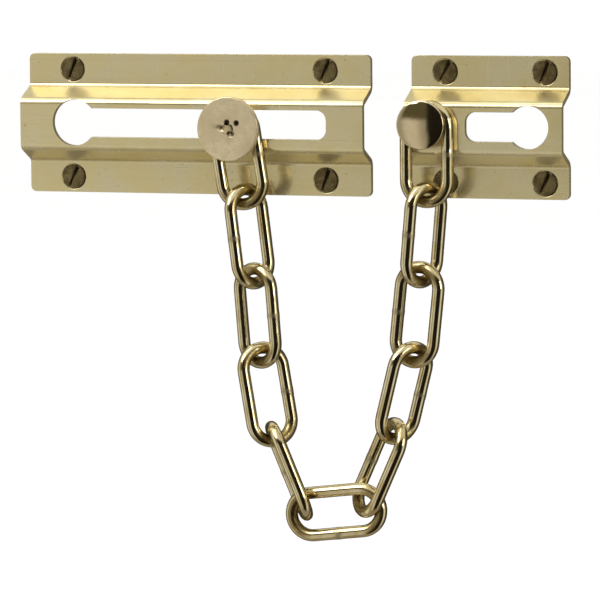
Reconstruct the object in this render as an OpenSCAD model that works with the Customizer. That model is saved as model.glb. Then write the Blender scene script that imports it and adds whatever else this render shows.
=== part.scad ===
// Door chain guard: slotted track plate, keeper plate, sliding stud and an
// eleven-link welded chain. Millimetres. X runs along the plates, Y points
// into the door, Z is up. The backs of both plates lie at Y = 0.

/* [Plates] */
// height of both plates
plate_h = 40; // [40:0.5:44]
// length of the track plate
track_l = 104; // [104:1:112]
// length of the keeper plate
keeper_l = 46; // [46:1:50]
// free gap between the two plates
plate_gap = 12; // [11:0.5:13]
// sheet thickness
sheet_t = 1.6; // [1.4:0.1:1.7]
// radius of the flange corners
corner_r = 1.6; // [1:0.2:3]

/* [Channel] */
// height the channel stands out from the flange face
rise = 7.5; // [7.3:0.1:8]
// half width of the channel where it leaves the flange
base_half = 10.8; // [10.6:0.1:11]
// half width of the raised face
face_half = 7.1; // [7:0.1:7.4]
// outside radius of the upper bends
bend_r = 2.2; // [1.8:0.1:2.4]

/* [Slots] */
// width of both slots
slot_w = 8.2; // [8:0.1:8.4]
// height of the slot line above the plate centre
slot_z = 0.5; // [0.3:0.1:0.6]
// radius of the slot end corners
slot_corner = 2.8; // [2.4:0.1:3]
// radius of the track keyhole
track_bulb_r = 6.6; // [6.3:0.1:6.8]
// radius of the keeper keyhole
keeper_bulb_r = 6; // [5.8:0.1:6.4]

/* [Screws] */
// spacing of the track screws along the plate
track_screw_x = 77; // [74:1:80]
// spacing of the keeper screws along the plate
keeper_screw_x = 29; // [28:0.5:30]
// spacing of all the screws up the plates
screw_z = 31; // [30:0.5:31.5]
// radius of the screw head
head_r = 3.6; // [3.4:0.1:3.8]
// radius of the screw shank
shank_r = 1.9; // [1.7:0.1:2]
// length of a screw behind the plate
screw_out = 17; // [12:1:25]

/* [Studs] */
// radius of the sliding stem
stem_r = 2.8; // [2.6:0.1:2.9]
// radius of the flange behind the slot
flange_r = 5.2; // [4.9:0.1:5.3]
// radius of the slider disc
disc_r = 9.1; // [8.6:0.1:9.6]
// radius of the keeper stud stem
keeper_stem_r = 2.5; // [2.3:0.1:2.6]
// radius of the keeper stud head
keeper_head_r = 6.9; // [6.5:0.1:7.2]
// thickness of both heads
button_t = 2.1; // [1.8:0.1:2.6]

/* [Chain] */
// wire diameter of the links
wire_d = 3.5; // [3.4:0.05:3.55]
// distance between the end bows of a link, wire centre to wire centre
bow_pitch = 26.8; // [26.6:0.1:27]
// radius of an end bow at the wire centre
bow_r = 6.05; // [6:0.05:6.15]

/* [Hidden] */
$fn = 48;
eps = 0.01;
face_y = sheet_t + rise;
track_x0 = -track_l / 2;
keeper_x0 = track_l / 2 + plate_gap;
keeper_mid = keeper_x0 + keeper_l / 2;
keeper_hole_mid = keeper_mid + 1.5;
slot_x1 = 41;
track_bulb_x = -35.2;
keeper_slot_x0 = keeper_x0 + 18;
keeper_bulb_x = keeper_x0 + 36;
run_gap = 0.35;
skirt = 5;
link_y = face_y + run_gap + wire_d / 2;
button_y = link_y + wire_d / 2 + run_gap;
neck_r = 1.8;
spigot_r = 2;

// resting places of the two studs
slider_x = 13.8;
slider_z = slot_z - slot_w / 2 + stem_r + 0.3;
keeper_stud_x = keeper_x0 + 6.5;
keeper_stud_z = 1.2;

// distance from a link's end bow to the pivot it turns about
nip = (wire_d + 0.7) / 2;
a_off = [0, nip, nip, nip, nip, 4.5, 0, nip, nip, nip, nip];
b_off = [nip, nip, nip, nip, 0, 5.8, nip, nip, nip, nip, 0];
hang_slider = bow_pitch / 2 - wire_d / 2 - stem_r - 0.5;
hang_keeper = bow_pitch / 2 - wire_d / 2 - keeper_stem_r - 0.9;
function span(i) =
    i == 0 ? bow_pitch / 2 - b_off[0] + hang_slider :
    i == 10 ? bow_pitch / 2 - a_off[10] + hang_keeper :
    bow_pitch - a_off[i] - b_off[i];
function along(a) = [sin(a), -cos(a)];

// lean of the links from hanging straight down, all but the two lowest,
// which close the loop between the studs
lean_left = [10.5, 7, 4.5, 9.5];
lean_right = [156, 166, 174, 175, 183];
function left_sum(n) = n < 0 ? [slider_x, slider_z] :
    left_sum(n - 1) + span(n) * along(lean_left[n]);
function right_sum(n) = n > 10 ? [keeper_stud_x, keeper_stud_z] :
    right_sum(n + 1) - span(n) * along(lean_right[n - 6]);
low_l = left_sum(3);
low_r = right_sum(6);
low_v = low_r - low_l;
low_d = norm(low_v);
low_base = atan2(low_v[0], -low_v[1]);
low_a = acos((span(4) ^ 2 + low_d ^ 2 - span(5) ^ 2) / (2 * span(4) * low_d));
low_b = acos((span(5) ^ 2 + low_d ^ 2 - span(4) ^ 2) / (2 * span(5) * low_d));
lean = concat(lean_left, [low_base - low_a, low_base + low_b], lean_right);
function pivot(n) = n < 0 ? [slider_x, slider_z] :
    pivot(n - 1) + span(n) * along(lean[n]);

// turn of each link about its own length
twist = [0, 63, -23, 42, -64, 0, 46, -58, 12, -63, 0];
// the end links stand a little askew on their studs
askew = [1.5, 0, 0, 0, 0, 0, 0, 0, 0, 0, 3];
function ring_lean(i) = lean[i] - askew[i];
function ring_at(i) = i == 0 ?
    pivot(0) - (bow_pitch / 2 - b_off[0]) * along(ring_lean(0)) :
    pivot(i - 1) + (bow_pitch / 2 - a_off[i]) * along(ring_lean(i));

gold = [0.72, 0.66, 0.42];
dark_bronze = [0.27, 0.2, 0.13];

// turns a shape built up along +Z so that it stands out along -Y
module outward() {
    rotate([90, 0, 0])
    children();
}

// filled outline of the hat section: first axis up the plate, second outwards
module hat_filled() {
    lean_out = (skirt + sheet_t) * (base_half - face_half) / rise;
    offset(r = -1.2)
    offset(r = 1.2)
    union() {
        offset(r = bend_r)
        offset(r = -bend_r)
        polygon([
            [-base_half - lean_out, -skirt],
            [-face_half, face_y],
            [face_half, face_y],
            [base_half + lean_out, -skirt]
        ]);
        translate([-plate_h / 2 - skirt, -skirt])
        square([plate_h + 2 * skirt, skirt + sheet_t]);
    }
}

// pressed sheet section with one even thickness
module hat_section() {
    intersection() {
        difference() {
            hat_filled();
            offset(r = -sheet_t)
            hat_filled();
        }
        translate([-plate_h / 2, 0])
        square([plate_h, face_y + 1]);
    }
}

// one pressed plate blank, from x0 to x0 + len, with rounded flange corners
module blank(x0, len) {
    intersection() {
        translate([x0, 0, 0])
        rotate(a = 180, v = [1, 0, 1])
        linear_extrude(height = len)
        hat_section();
        outward()
        translate([0, 0, -1])
        linear_extrude(height = face_y + 2)
        hull() {
            for (x = [x0 + corner_r, x0 + len - corner_r], z = [-1, 1])
                translate([x, z * (plate_h / 2 - corner_r)])
                circle(r = corner_r);
        }
    }
}

// countersunk hole through a flange
module screw_hole(x, z) {
    translate([x, 0, z])
    outward() {
        translate([0, 0, -1])
        cylinder(h = sheet_t + 2, r = shank_r + 0.25);
        translate([0, 0, sheet_t - (head_r - shank_r)])
        cylinder(h = head_r - shank_r + eps, r1 = shank_r + 0.15, r2 = head_r + 0.15);
    }
}

// round-cornered slot between xa and xb, cut right through the channel face
module slot_cut(xa, xb) {
    h = slot_w / 2 - slot_corner;
    outward()
    translate([0, 0, face_y - sheet_t - 1])
    linear_extrude(height = sheet_t + 2)
    hull() {
        for (x = [xa + slot_corner, xb - slot_corner], z = [-h, h])
            translate([x, slot_z + z])
            circle(r = slot_corner);
    }
}

// round keyhole through the channel face
module bulb_cut(x, r) {
    translate([x, 0, slot_z])
    outward()
    translate([0, 0, face_y - sheet_t - 1])
    cylinder(h = sheet_t + 2, r = r, $fn = 64);
}

module track_plate() {
    color(gold)
    difference() {
        blank(track_x0, track_l);
        slot_cut(track_bulb_x, slot_x1);
        bulb_cut(track_bulb_x, track_bulb_r);
        for (x = [-1, 1], z = [-1, 1])
            screw_hole(x * track_screw_x / 2, z * screw_z / 2);
    }
}

module keeper_plate() {
    color(gold)
    difference() {
        blank(keeper_x0, keeper_l);
        slot_cut(keeper_slot_x0, keeper_bulb_x);
        bulb_cut(keeper_bulb_x, keeper_bulb_r);
        for (x = [-1, 1], z = [-1, 1])
            screw_hole(keeper_hole_mid + x * keeper_screw_x / 2, z * screw_z / 2);
        translate([keeper_stud_x, 0, keeper_stud_z])
        outward()
        cylinder(h = face_y + 1, r = spigot_r);
    }
}

// flat button with eased rims, standing on z = 0
module button(r, t) {
    e = 0.45;
    rotate_extrude($fn = 96)
    polygon([
        [0, 0],
        [r - e, 0],
        [r, e],
        [r, t - 2 * e],
        [r - 0.35 * e, t - e],
        [r - e, t - 0.35 * e],
        [r - 2 * e, t],
        [0, t]
    ]);
}

// sliding stud: rear flange, stem and the neck staked over the disc
module slider_stud() {
    back = face_y - sheet_t - run_gap;
    color(gold)
    translate([slider_x, 0, slider_z])
    outward()
    difference() {
        union() {
            translate([0, 0, back - 1.5])
            cylinder(h = 1.5, r = flange_r);
            translate([0, 0, back - eps])
            cylinder(h = button_y - back + eps, r = stem_r);
            translate([0, 0, button_y - eps])
            cylinder(h = button_t + 0.1 + eps, r = neck_r);
            translate([0, 0, button_y + button_t])
            cylinder(h = 0.35, r1 = neck_r + 0.5, r2 = neck_r);
        }
        for (a = [20, 110])
            rotate([0, 0, a])
            translate([-3, -0.3, button_y + button_t + 0.1])
            cube([6, 0.6, 1]);
    }
}

module slider_disc() {
    color(gold)
    translate([slider_x, 0, slider_z])
    outward()
    translate([0, 0, button_y])
    difference() {
        button(disc_r, button_t);
        translate([0, 0, -1])
        cylinder(h = button_t + 2, r = neck_r);
    }
}

// fixed stud riveted through the keeper plate
module keeper_stud() {
    back = face_y - sheet_t;
    color(gold)
    translate([keeper_stud_x, 0, keeper_stud_z])
    outward() {
        translate([0, 0, back - 1])
        cylinder(h = 1, r1 = spigot_r + 0.7, r2 = spigot_r + 1.4);
        translate([0, 0, back - eps])
        cylinder(h = sheet_t + 2 * eps, r = spigot_r);
        translate([0, 0, face_y])
        cylinder(h = button_y - face_y + eps, r = keeper_stem_r);
        translate([0, 0, button_y])
        button(keeper_head_r, button_t);
    }
}

// one welded oval link, standing upright in the XZ plane
module oval_link() {
    h = bow_pitch / 2 - bow_r;
    rotate([90, 0, 0]) {
        translate([0, h, 0])
        rotate_extrude(angle = 180, $fn = 64)
        translate([bow_r, 0])
        circle(d = wire_d, $fn = 32);
        translate([0, -h, 0])
        rotate([0, 0, 180])
        rotate_extrude(angle = 180, $fn = 64)
        translate([bow_r, 0])
        circle(d = wire_d, $fn = 32);
    }
    for (s = [-1, 1])
        translate([s * bow_r, 0, -h])
        cylinder(h = 2 * h, d = wire_d, $fn = 32);
    translate([bow_r, 0, -0.6])
    cylinder(h = 1.2, d = wire_d + 0.3, $fn = 32);
}

// link number i of the chain in its resting place
module chain_link(i) {
    color(gold)
    translate([ring_at(i)[0], -link_y, ring_at(i)[1]])
    rotate([0, -ring_lean(i), 0])
    rotate([0, 0, twist[i]])
    oval_link();
}

module link_01() { chain_link(0); }
module link_02() { chain_link(1); }
module link_03() { chain_link(2); }
module link_04() { chain_link(3); }
module link_05() { chain_link(4); }
module link_06() { chain_link(5); }
module link_07() { chain_link(6); }
module link_08() { chain_link(7); }
module link_09() { chain_link(8); }
module link_10() { chain_link(9); }
module link_11() { chain_link(10); }

// slotted countersunk wood screw with its head flush in the flange
module wood_screw(x, z, turn) {
    depth = head_r - shank_r;
    tip = 4;
    color(dark_bronze)
    translate([x, 0, z])
    outward()
    difference() {
        union() {
            translate([0, 0, sheet_t - depth])
            cylinder(h = depth, r1 = shank_r, r2 = head_r);
            translate([0, 0, tip - screw_out])
            cylinder(h = screw_out - tip + sheet_t - depth + eps, r = shank_r);
            translate([0, 0, -screw_out])
            cylinder(h = tip + eps, r1 = 0.3, r2 = shank_r);
        }
        rotate([0, 0, turn])
        translate([-head_r - 1, -0.45, sheet_t - 0.8])
        cube([2 * head_r + 2, 0.9, 2]);
    }
}

module track_screw_upper_left() {
    wood_screw(-track_screw_x / 2, screw_z / 2, 70);
}

module track_screw_upper_right() {
    wood_screw(track_screw_x / 2, screw_z / 2, 68);
}

module track_screw_lower_left() {
    wood_screw(-track_screw_x / 2, -screw_z / 2, 66);
}

module track_screw_lower_right() {
    wood_screw(track_screw_x / 2, -screw_z / 2, 72);
}

module keeper_screw_upper_left() {
    wood_screw(keeper_hole_mid - keeper_screw_x / 2, screw_z / 2, 64);
}

module keeper_screw_upper_right() {
    wood_screw(keeper_hole_mid + keeper_screw_x / 2, screw_z / 2, 70);
}

module keeper_screw_lower_left() {
    wood_screw(keeper_hole_mid - keeper_screw_x / 2, -screw_z / 2, 75);
}

module keeper_screw_lower_right() {
    wood_screw(keeper_hole_mid + keeper_screw_x / 2, -screw_z / 2, 67);
}

track_plate();
keeper_plate();
slider_stud();
slider_disc();
keeper_stud();
link_01();
link_02();
link_03();
link_04();
link_05();
link_06();
link_07();
link_08();
link_09();
link_10();
link_11();
track_screw_upper_left();
track_screw_upper_right();
track_screw_lower_left();
track_screw_lower_right();
keeper_screw_upper_left();
keeper_screw_upper_right();
keeper_screw_lower_left();
keeper_screw_lower_right();
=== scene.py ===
"""Looks of the door chain guard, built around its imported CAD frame.

Every piece is made in metres in the frame's own axes: X runs along the plates,
Y points into the door and Z is up, so a shape that stands out from the door
stands out towards -Y.
"""

import logging
import math
from dataclasses import dataclass
from enum import Enum
from typing import Callable, Optional, Sequence, Union
import bmesh
import bpy
from mathutils import Matrix, Vector


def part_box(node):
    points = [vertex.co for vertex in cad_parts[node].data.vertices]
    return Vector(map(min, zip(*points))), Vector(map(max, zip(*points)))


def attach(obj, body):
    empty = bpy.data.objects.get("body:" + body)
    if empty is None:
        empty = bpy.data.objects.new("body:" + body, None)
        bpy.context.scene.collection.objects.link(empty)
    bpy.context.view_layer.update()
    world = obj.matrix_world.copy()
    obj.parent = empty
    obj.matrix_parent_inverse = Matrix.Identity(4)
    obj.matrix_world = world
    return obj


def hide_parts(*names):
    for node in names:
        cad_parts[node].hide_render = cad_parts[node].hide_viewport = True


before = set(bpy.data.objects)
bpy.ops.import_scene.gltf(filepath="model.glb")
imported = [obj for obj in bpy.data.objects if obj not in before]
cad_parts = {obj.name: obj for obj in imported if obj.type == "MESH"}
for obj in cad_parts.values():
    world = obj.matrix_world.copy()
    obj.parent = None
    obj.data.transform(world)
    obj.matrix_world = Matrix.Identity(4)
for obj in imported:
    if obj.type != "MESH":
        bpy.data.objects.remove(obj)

MM = 0.001
SAME_PLACE = 1e-6
LOG = logging.getLogger("door_chain_guard")
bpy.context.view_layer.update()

Piece = bpy.types.Object
Material = bpy.types.Material
Socket = bpy.types.NodeSocket
Colour = tuple[float, float, float]
Station = tuple[float, float]
Span = tuple[float, float, float]
Source = Union[Socket, float, Colour]


class Body(Enum):
    """Rigid bodies of the frame that are not chain links."""

    PLATES = "plates"
    SLIDER = "slider"


class Slot(Enum):
    """Material slots of the record."""

    PLATE = "plate_brass"
    STUD = "stud_brass"
    CHAIN = "chain_brass"
    SCREW = "screw_bronze"


class Coat(Enum):
    """Finishes that a piece can be dressed in."""

    PLATE = "plate"
    WIRE = "wire"
    BUTTON = "button"
    PIN = "pin"
    RIVET = "rivet"
    SCREW = "screw"


class Shading(Enum):
    """How a finished mesh is shaded."""

    SMOOTH = "smooth"
    BY_ANGLE = "by_angle"
    WEIGHTED = "weighted"


class Pick(Enum):
    """What is selected in edit mode."""

    EDGES = "EDGE"
    POINTS = "VERT"


class Cut(Enum):
    """What a cutter does to a piece."""

    AWAY = "DIFFERENCE"
    ON = "UNION"


def mm(*pairs: Station) -> tuple[Station, ...]:
    """Pairs of sizes in millimetres, as metres."""
    return tuple((a * MM, b * MM) for a, b in pairs)


def centre_of(node: str) -> Vector:
    """Middle of a CAD node's box, in metres."""
    low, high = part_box(node)
    return (low + high) / 2


def turned(degrees: float, axis: str) -> Matrix:
    """A turn about one axis."""
    return Matrix.Rotation(math.radians(degrees), 4, axis)


def shifted(x: float, z: float) -> Matrix:
    """A move across the door."""
    return Matrix.Translation((x, 0, z))


def rounded(
    height: float, radius: float, steps: Sequence[Station], way: int = 1
) -> list[Station]:
    """Stations of a rounded edge for the lathe.

    Args:
        height: Height that the steps are measured from.
        radius: Radius that the steps are measured in from.
        steps: How far along and how far in each step is.
        way: 1 to measure out from the door, -1 to measure back towards it.

    Returns:
        Height and radius of each step.
    """
    return [(height + way * along, radius - inset) for along, inset in steps]


# --------------------------------------------------------------------------
# Modelling bench
# --------------------------------------------------------------------------


class Bench:
    """Hand tools: thin wrappers that run Blender's own modelling operators."""

    @staticmethod
    def clear() -> None:
        """Leave edit mode and deselect everything."""
        if bpy.context.object and bpy.context.object.mode != "OBJECT":
            bpy.ops.object.mode_set(mode="OBJECT")
        bpy.ops.object.select_all(action="DESELECT")

    @staticmethod
    def hold(piece: Piece) -> None:
        """Make one piece the only selected and active object.

        Args:
            piece: The object to hold.
        """
        Bench.clear()
        piece.select_set(True)
        bpy.context.view_layer.objects.active = piece

    @staticmethod
    def edit(piece: Piece) -> None:
        """Hold a piece and go into edit mode with all of it selected.

        Args:
            piece: The object to edit.
        """
        Bench.hold(piece)
        bpy.ops.object.mode_set(mode="EDIT")
        bpy.ops.mesh.select_all(action="SELECT")

    @staticmethod
    def done(piece: Piece) -> Piece:
        """Leave edit mode and give the piece back."""
        bpy.ops.object.mode_set(mode="OBJECT")
        return piece

    @staticmethod
    def keep_place() -> None:
        """Move the held piece's place, turn and scale into its mesh."""
        bpy.ops.object.transform_apply(location=True, rotation=True, scale=True)

    @staticmethod
    def added(name: str, scale: Sequence[float] = (1, 1, 1)) -> Piece:
        """Name the primitive just added and keep its place in its mesh.

        Args:
            name: The new name of the object and its mesh.
            scale: Stretch that it gets first.

        Returns:
            The object.
        """
        piece = bpy.context.active_object
        piece.name = name
        piece.data.name = name
        piece.scale = scale
        Bench.keep_place()
        return piece

    @staticmethod
    def copied(pattern: Piece, name: str) -> Piece:
        """Copy a pattern with a mesh of its own.

        Args:
            pattern: The piece to copy.
            name: Name of the copy.

        Returns:
            The copy.
        """
        copy = pattern.copy()
        copy.data = pattern.data.copy()
        copy.name = name
        bpy.context.collection.objects.link(copy)
        return copy

    @staticmethod
    def place(piece: Piece, where: Matrix) -> Piece:
        """Set a piece in its place, with the place kept in its mesh.

        Args:
            piece: The object.
            where: Turn and move from its modelling place.

        Returns:
            The same object.
        """
        Bench.hold(piece)
        piece.matrix_world = where
        Bench.keep_place()
        return piece

    @staticmethod
    def pick(piece: Piece, kind: Pick, wanted: Callable[..., bool]) -> None:
        """Select the edges or points of a piece in edit mode by their place.

        Args:
            piece: The object being edited.
            kind: Whether edges or points are picked.
            wanted: Told both ends of an edge, or a point, says whether to pick it.
        """
        bpy.ops.mesh.select_mode(type=kind.value)
        mesh = bmesh.from_edit_mesh(piece.data)
        for item in mesh.edges if kind is Pick.EDGES else mesh.verts:
            ends = item.verts if kind is Pick.EDGES else (item,)
            item.select_set(wanted(*(end.co for end in ends)))
        mesh.select_flush_mode()
        bmesh.update_edit_mesh(piece.data)

    @staticmethod
    def pull(*move: float) -> None:
        """Extrude what is selected and move the new end."""
        bpy.ops.mesh.extrude_region_move(TRANSFORM_OT_translate={"value": move})

    @staticmethod
    def merge(reach: float) -> None:
        """Merge points of the edited piece that are nearer than this."""
        bpy.ops.mesh.select_all(action="SELECT")
        bpy.ops.mesh.remove_doubles(threshold=reach)

    @staticmethod
    def face_out() -> None:
        """Turn all faces of the edited piece outwards."""
        bpy.ops.mesh.select_all(action="SELECT")
        bpy.ops.mesh.normals_make_consistent(inside=False)

    @staticmethod
    def score(piece: Piece, along: int, places: Sequence[float]) -> None:
        """Divide a piece's faces with straight cuts right across it.

        Args:
            piece: The object.
            along: Axis that the cuts are square to.
            places: Where on that axis each cut lies.
        """
        Bench.edit(piece)
        for at in places:
            point, normal = [0.0, 0.0, 0.0], [0.0, 0.0, 0.0]
            point[along], normal[along] = at, 1.0
            bpy.ops.mesh.select_all(action="SELECT")
            bpy.ops.mesh.bisect(plane_co=point, plane_no=normal)
        Bench.done(piece)

    @staticmethod
    def modify(piece: Piece, kind: str, **settings: object) -> None:
        """Give a piece a modifier and apply it.

        Args:
            piece: The object.
            kind: Blender's name of the modifier.
            settings: Its settings.
        """
        Bench.hold(piece)
        modifier = piece.modifiers.new(kind.lower(), kind)
        for name, value in settings.items():
            setattr(modifier, name, value)
        bpy.ops.object.modifier_apply(modifier=modifier.name)

    @staticmethod
    def carve(piece: Piece, tool: Piece, cut: Cut = Cut.AWAY) -> None:
        """Cut a tool's shape out of a piece, or weld it on, and use the tool up.

        Args:
            piece: The object that is changed.
            tool: The closed cutter.
            cut: Whether its shape is cut away or put on.
        """
        Bench.modify(
            piece, "BOOLEAN", operation=cut.value, solver="MANIFOLD", object=tool
        )
        bpy.data.objects.remove(tool)

    @staticmethod
    def weld(piece: Piece, reach: float) -> None:
        """Merge the tiny edges that cutting leaves, so no sliver stays.

        Args:
            piece: The object.
            reach: Points nearer than this become one.
        """
        Bench.edit(piece)
        Bench.merge(reach)
        bpy.ops.mesh.dissolve_degenerate(threshold=reach / 4)
        Bench.done(piece)

    @staticmethod
    def ease_edges(piece: Piece, width: float, angle: float = 32.0) -> None:
        """Round every sharp edge of a piece a little.

        Args:
            piece: The object.
            width: Width of the rounding.
            angle: Edges that bend by more than this many degrees are rounded.
        """
        Bench.modify(
            piece,
            "BEVEL",
            width=width,
            segments=2,
            limit_method="ANGLE",
            angle_limit=math.radians(angle),
            miter_outer="MITER_ARC",
            use_clamp_overlap=False,
        )

    @staticmethod
    def lathe(
        name: str,
        stations: Sequence[Station],
        segments: int = 96,
        bored: bool = False,
        at: Station = (0.0, 0.0),
    ) -> Piece:
        """Turn a round piece about the -Y axis by extruding and scaling a circle.

        Args:
            name: Name of the piece.
            stations: Height out from the door and radius of each step.
            segments: Points round the circle.
            bored: Whether the outline closes on itself round a bore.
            at: X and Z that the turned piece is then moved to.

        Returns:
            The turned piece.
        """
        Bench.clear()
        height, radius = stations[0]
        bpy.ops.mesh.primitive_circle_add(
            vertices=segments,
            radius=radius,
            fill_type="NOTHING" if bored else "NGON",
            location=(0, -height, 0),
            rotation=(math.pi / 2, 0, 0),
        )
        piece = Bench.added(name)
        Bench.edit(piece)
        path = list(stations[1:]) + ([stations[0]] if bored else [])
        for next_height, next_radius in path:
            Bench.pull(0, height - next_height, 0)
            if abs(next_radius - radius) > 1e-9:
                scale = next_radius / radius
                bpy.ops.transform.resize(
                    value=(scale, 1, scale), center_override=(0, -next_height, 0)
                )
            height, radius = next_height, next_radius
        Bench.merge(1e-7)
        Bench.face_out()
        return Bench.place(Bench.done(piece), shifted(*at))

    @staticmethod
    def block(name: str, low: Sequence[float], high: Sequence[float]) -> Piece:
        """Add a square-edged cutter between two corners.

        Args:
            name: Name of the cutter.
            low: Lowest corner.
            high: Highest corner.

        Returns:
            The cutter.
        """
        Bench.clear()
        middle = [(a + b) / 2 for a, b in zip(low, high)]
        bpy.ops.mesh.primitive_cube_add(size=1, location=middle)
        return Bench.added(name, [b - a for a, b in zip(low, high)])

    @staticmethod
    def shade(piece: Piece, how: Shading) -> None:
        """Set how a piece's faces blend.

        Args:
            piece: The object.
            how: The kind of shading.
        """
        Bench.hold(piece)
        if how is Shading.SMOOTH:
            bpy.ops.object.shade_smooth()
            return
        bpy.ops.object.shade_smooth_by_angle(angle=math.radians(34))
        if how is Shading.WEIGHTED:
            Bench.modify(piece, "WEIGHTED_NORMAL", keep_sharp=True, weight=100)


# --------------------------------------------------------------------------
# Finishes
# --------------------------------------------------------------------------


class Nodes:
    """A node tree, built a node at a time."""

    def __init__(self, tree: bpy.types.NodeTree) -> None:
        """Start with an empty tree."""
        self.tree = tree
        tree.nodes.clear()

    def add(
        self, kind: str, inputs: Optional[dict] = None, **settings: object
    ) -> bpy.types.Node:
        """Add a node, set it up and feed its sockets.

        Args:
            kind: Blender's name of the node, without its first part.
            inputs: What feeds each socket: another socket, a number or a colour.
            settings: The node's own settings.

        Returns:
            The node.
        """
        node = self.tree.nodes.new("ShaderNode" + kind)
        for name, value in settings.items():
            setattr(node, name, value)
        for key, value in (inputs or {}).items():
            socket = node.inputs[key]
            if isinstance(value, tuple):
                socket.default_value = (*value, 1.0)
            elif isinstance(value, (int, float)):
                socket.default_value = value
            else:
                self.tree.links.new(value, socket)
        return node

    def maths(self, operation: str, first: Source, second: Source = 0.0) -> Socket:
        """Combine two values."""
        inputs = {0: first, 1: second}
        return self.add("Math", inputs, operation=operation).outputs[0]

    def times(self, first: Source, second: Source) -> Socket:
        """One value times another."""
        return self.maths("MULTIPLY", first, second)

    def plus(self, first: Source, second: Source) -> Socket:
        """One value plus another."""
        return self.maths("ADD", first, second)

    def ramp(
        self,
        value: Socket,
        low: float,
        high: float,
        start: float = 0.0,
        end: float = 1.0,
    ) -> Socket:
        """Map a value from low..high to start..end with soft ends.

        Args:
            value: The value.
            low: Value that gives start.
            high: Value that gives end.
            start: First result.
            end: Last result.

        Returns:
            The mapped value.
        """
        inputs = {
            "Value": value,
            "From Min": low,
            "From Max": high,
            "To Min": start,
            "To Max": end,
        }
        node = self.add("MapRange", inputs, interpolation_type="SMOOTHSTEP")
        return node.outputs["Result"]

    def tint(self, amount: Socket, first: Source, second: Source) -> Socket:
        """Mix two colours by the share of the second."""
        inputs = {"Factor": amount, 6: first, 7: second}
        return self.add("Mix", inputs, data_type="RGBA").outputs[2]

    def split(self, vector: Socket) -> bpy.types.NodeOutputs:
        """The X, Y and Z of a vector."""
        return self.add("SeparateXYZ", {"Vector": vector}).outputs


class Graph(Nodes):
    """A material's node tree."""

    def __init__(self, name: str) -> None:
        """Start a material that has only its shader.

        Args:
            name: Name of the material.
        """
        self.material = bpy.data.materials.new(name)
        self.material.use_nodes = True
        super().__init__(self.material.node_tree)
        self.shader = self.add("BsdfPrincipled")
        self.add("OutputMaterial", {"Surface": self.shader.outputs[0]})
        self.place = self.add("TexCoord").outputs["Object"]

    def moved(self, setting: str, value: Sequence[float]) -> Socket:
        """Object coordinates through a mapping with one setting.

        Args:
            setting: Location or Scale.
            value: Its three numbers.

        Returns:
            The coordinates.
        """
        node = self.add("Mapping", {"Vector": self.place})
        node.inputs[setting].default_value = tuple(value)
        return node.outputs["Vector"]

    def noise(
        self,
        scale: float,
        detail: float,
        roughness: float,
        vector: Optional[Socket] = None,
    ) -> Socket:
        """Cloudy noise between 0 and 1.

        Args:
            scale: Waves to a metre.
            detail: Layers of finer noise.
            roughness: Strength of the finer layers.
            vector: Coordinates, or None for the plain object coordinates.

        Returns:
            The noise value.
        """
        inputs = {
            "Scale": scale,
            "Detail": detail,
            "Roughness": roughness,
            "Vector": vector or self.place,
        }
        return self.add("TexNoise", inputs).outputs["Fac"]

    def hairs(
        self, scale: Sequence[float], turn: float, low: float, high: float
    ) -> Socket:
        """Fine straight scratches that run one way.

        Args:
            scale: Waves to a metre along each axis.
            turn: Turn about Y in degrees.
            low: Noise below this is bare.
            high: Noise above this is scratched.

        Returns:
            A value of 1 on a scratch.
        """
        node = self.add("Mapping", {"Vector": self.place})
        node.inputs["Scale"].default_value = tuple(scale)
        node.inputs["Rotation"].default_value = (0, math.radians(turn), 0)
        return self.ramp(self.noise(1.0, 2, 0.4, node.outputs["Vector"]), low, high)

    def worn_edge(self, radius: float) -> Socket:
        """How near a point is to an edge that rubbing has brightened.

        Args:
            radius: Reach of the wear in from the edge.

        Returns:
            A value of 1 on the edge and 0 away from it.
        """
        eased = self.add("Bevel", {"Radius": radius}, samples=6).outputs[0]
        plain = self.add("NewGeometry").outputs["Normal"]
        dot = self.add("VectorMath", {0: eased, 1: plain}, operation="DOT_PRODUCT")
        return self.ramp(dot.outputs["Value"], 0.985, 0.86)

    def attribute(self, name: str) -> Socket:
        """A value that the piece's own mesh carries."""
        return self.add("Attribute", attribute_name=name).outputs["Fac"]

    def bump(
        self,
        height: Socket,
        distance: float,
        strength: float,
        under: Optional[Socket] = None,
    ) -> Socket:
        """Raise the surface by a height.

        Args:
            height: Height between 0 and 1.
            distance: Height of 1 in metres.
            strength: Share of the effect.
            under: Normal to build on.

        Returns:
            The bumped normal.
        """
        inputs = {"Distance": distance, "Strength": strength, "Height": height}
        if under is not None:
            inputs["Normal"] = under
        return self.add("Bump", inputs).outputs["Normal"]

    def finish(
        self, colour: Socket, roughness: Socket, normal: Socket, metallic: float = 1.0
    ) -> Material:
        """Feed the shader and hand over the material.

        Args:
            colour: Base colour.
            roughness: Roughness.
            normal: Bumped normal.
            metallic: How metallic the surface is.

        Returns:
            The material.
        """
        self.shader.inputs["Metallic"].default_value = metallic
        for name, value in (
            ("Base Color", colour),
            ("Roughness", roughness),
            ("Normal", normal),
        ):
            self.tree.links.new(value, self.shader.inputs[name])
        return self.material


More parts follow.
